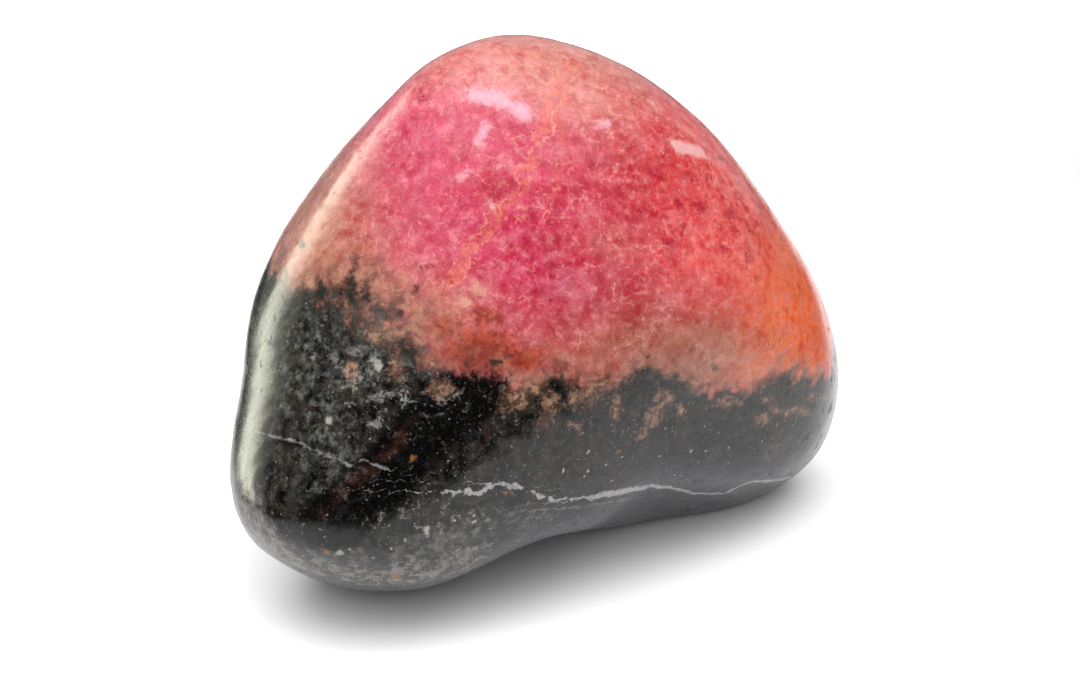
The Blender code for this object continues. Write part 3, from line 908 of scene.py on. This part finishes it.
scratch = cloud(place, 0.12, 6.0, 0.7).outputs["Fac"]
gloss = maths("ADD", step(scratch, 0.35, 0.7, 0.18, 0.32), step(soot, 0.56, 0.64, 0.0, 0.22))
relief = maths("ADD", maths("MULTIPLY", scratch, 0.4), maths("MULTIPLY", mottle, 0.6))
bump_feeds = {"Height": relief, "Strength": SCRATCH_STRENGTH, "Distance": SCRATCH_DEPTH}
bump = put("ShaderNodeBump", bump_feeds).outputs[0]
shader = put("ShaderNodeBsdfPrincipled", {"Base Color": colour, "Roughness": gloss, "Normal": bump})
shader.inputs["IOR"].default_value = POLISH_IOR
put("ShaderNodeOutputMaterial", {"Surface": shader.outputs[0]})

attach(stone, "root")
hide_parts("rhodonite_pebble")


# The table and the light.
# A white board under soft boxes overhead and in front, in a pale room. Only a tall strip and a
# screen at the left, a thin strip at the right, a dim wall behind, the box overhead and the board
# show in the polish.

BOARD_LEFT = -30.0 * MM
BOARD_RIGHT = 31.0 * MM
BOARD_FRONT = -39.5 * MM
BOARD_BACK = 80.0 * MM
BOARD_ROUNDING = 12.0 * MM
POINTS_PER_CORNER = 13
ROOM_GREY = 0.38

table_mesh = bpy.data.meshes.new("white_table")
board = bmesh.new()
rim = []
board_corners = [
    (BOARD_RIGHT - BOARD_ROUNDING, BOARD_BACK - BOARD_ROUNDING, 0),
    (BOARD_LEFT + BOARD_ROUNDING, BOARD_BACK - BOARD_ROUNDING, 90),
    (BOARD_LEFT + BOARD_ROUNDING, BOARD_FRONT + BOARD_ROUNDING, 180),
    (BOARD_RIGHT - BOARD_ROUNDING, BOARD_FRONT + BOARD_ROUNDING, 270),
]
for corner_x, corner_y, start_turn in board_corners:
    for turn in np.radians(np.linspace(start_turn, start_turn + 90, POINTS_PER_CORNER)):
        rim_x = corner_x + BOARD_ROUNDING * math.cos(turn)
        rim_y = corner_y + BOARD_ROUNDING * math.sin(turn)
        rim.append(board.verts.new((rim_x, rim_y, 0.0)))
board.faces.new(rim)
board.to_mesh(table_mesh)
board.free()
table = bpy.data.objects.new("white_table", table_mesh)
bpy.context.scene.collection.objects.link(table)
table_white = bpy.data.materials.new("matt_white")
table_white.use_nodes = True
table_shader = table_white.node_tree.nodes["Principled BSDF"]
table_shader.inputs["Base Color"].default_value = (0.86, 0.86, 0.87, 1.0)
table_shader.inputs["Roughness"].default_value = 0.9
table_shader.inputs["Specular IOR Level"].default_value = 0.0
table_mesh.materials.append(table_white)


def soft_box(name, turn, rise, distance, width, height, power, colour=(1.0, 1.0, 1.0), lights="all"):
    """A lit panel facing the stone, at that turn to the right of the front and rise over the table.

    It lights all, or only shows in the polish, or only lights the body.
    """
    light = bpy.data.lights.new(name, "AREA")
    light.shape = "RECTANGLE"
    light.size = width
    light.size_y = height
    light.energy = power
    light.color = colour
    panel = bpy.data.objects.new(name, light)
    across, over = math.radians(turn), math.radians(rise)
    direction = Vector((
        math.sin(across) * math.cos(over), -math.cos(across) * math.cos(over), math.sin(over)
    ))
    panel.location = STONE_MIDDLE + direction * distance
    panel.rotation_mode = "QUATERNION"
    panel.rotation_quaternion = (-direction).to_track_quat("-Z", "Y")
    panel.visible_diffuse = lights != "polish"
    panel.visible_glossy = lights != "body"
    bpy.context.scene.collection.objects.link(panel)


soft_box("box_overhead", 0.0, 86.0, 0.8, 1.4, 1.1, 8.0)
soft_box("box_front", -8.0, 60.0, 0.8, 1.1, 1.1, 11.5, lights="body")
soft_box("strip_left", -119.0, 3.5, 0.5, 0.21, 0.42, 2.3, (0.97, 1.0, 0.82), lights="polish")
soft_box("screen_left", -108.0, 3.5, 0.5, 0.32, 0.42, 0.7, (0.97, 1.0, 0.86), lights="polish")
soft_box("wall_behind", 180.0, 6.0, 0.7, 1.2, 0.45, 0.9, lights="polish")
soft_box("strip_right", 138.0, 12.0, 0.6, 0.05, 0.30, 0.12, lights="polish")

# The pale room lights the stone from all round, but only the panels and the table show in its
# polish.
world = bpy.data.worlds.new("studio_room")
world.use_nodes = True
room = world.node_tree.nodes
seen = room.new("ShaderNodeLightPath")
white_behind = room.new("ShaderNodeMix")
white_behind.data_type = "RGBA"
white_behind.inputs[6].default_value = (ROOM_GREY, ROOM_GREY, ROOM_GREY, 1.0)
white_behind.inputs[7].default_value = (1.0, 1.0, 1.0, 1.0)
world.node_tree.links.new(seen.outputs["Is Camera Ray"], white_behind.inputs[0])
world.node_tree.links.new(white_behind.outputs[2], room["Background"].inputs["Color"])
room["Background"].inputs["Strength"].default_value = 1.0
world.cycles_visibility.glossy = False
bpy.context.scene.world = world
bpy.context.scene.view_settings.view_transform = "Standard"
